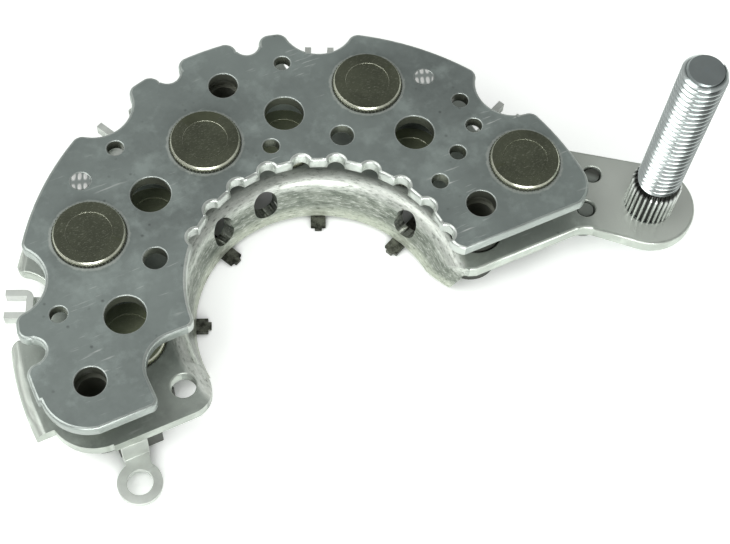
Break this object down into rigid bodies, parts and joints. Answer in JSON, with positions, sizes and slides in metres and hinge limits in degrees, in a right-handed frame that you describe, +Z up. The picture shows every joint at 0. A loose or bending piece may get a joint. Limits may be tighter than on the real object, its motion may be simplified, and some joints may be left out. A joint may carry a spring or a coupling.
{
  "type": "alternator rectifier",
  "caption": "Horseshoe rectifier for a vehicle alternator: two stacked heat sinks with press-fit diodes, wire clips, a ring terminal and a threaded output stud.",
  "frame": {"origin": "middle of the length and width, at the lowest boss faces that the rectifier stands on", "axes": "+X along the longest side, toward the output stud; +Z up along the stud, the shortest side of the whole; the horseshoe opens toward -Y"},
  "size_m": [0.1268, 0.0738, 0.0523],
  "materials": {
    "satin_aluminium": "die-cut sheet, satin with fine scratches and bright rolled edges",
    "smooth_aluminium": "drawn sheet, smooth, scuffed along the collar",
    "diode_nickel": "dull olive-dark nickel plating, bright chamfer and teeth",
    "seal_resin": "black moulded resin",
    "lead_copper_tinned": "tinned wire",
    "moulding_plastic": "dark grey glass-filled moulding",
    "tinned_strip": "tinned strip, slightly dull",
    "sleeve_steel": "plated steel tube",
    "zinc_steel": "bright zinc plating",
    "rivet_aluminium": "bright staked metal"
  },
  "bodies": {
    "root": {"negative_heat_sink": "satin_aluminium", "positive_heat_sink": "smooth_aluminium", "top_diode_1": "diode_nickel", "top_diode_2": "diode_nickel", "top_diode_3": "diode_nickel", "top_diode_4": "diode_nickel", "top_seal_1": "seal_resin", "top_seal_2": "seal_resin", "top_seal_3": "seal_resin", "top_seal_4": "seal_resin", "top_lead_1": "lead_copper_tinned", "top_lead_2": "lead_copper_tinned", "top_lead_3": "lead_copper_tinned", "top_lead_4": "lead_copper_tinned", "lower_diode_1": "diode_nickel", "lower_diode_2": "diode_nickel", "lower_diode_3": "diode_nickel", "lower_diode_4": "diode_nickel", "lower_seal_1": "seal_resin", "lower_seal_2": "seal_resin", "lower_seal_3": "seal_resin", "lower_seal_4": "seal_resin", "lower_lead_1": "lead_copper_tinned", "lower_lead_2": "lead_copper_tinned", "lower_lead_3": "lead_copper_tinned", "lower_lead_4": "lead_copper_tinned", "phase_terminal_1": "tinned_strip", "phase_terminal_2": "tinned_strip", "phase_terminal_3": "tinned_strip", "phase_terminal_4": "tinned_strip", "regulator_terminal": "tinned_strip", "terminal_moulding": "moulding_plastic", "mounting_sleeve_1": "sleeve_steel", "mounting_sleeve_2": "sleeve_steel", "mounting_sleeve_3": "sleeve_steel", "b_plus_stud": "zinc_steel", "plate_rivets": "rivet_aluminium"}
  },
  "joints": []
}
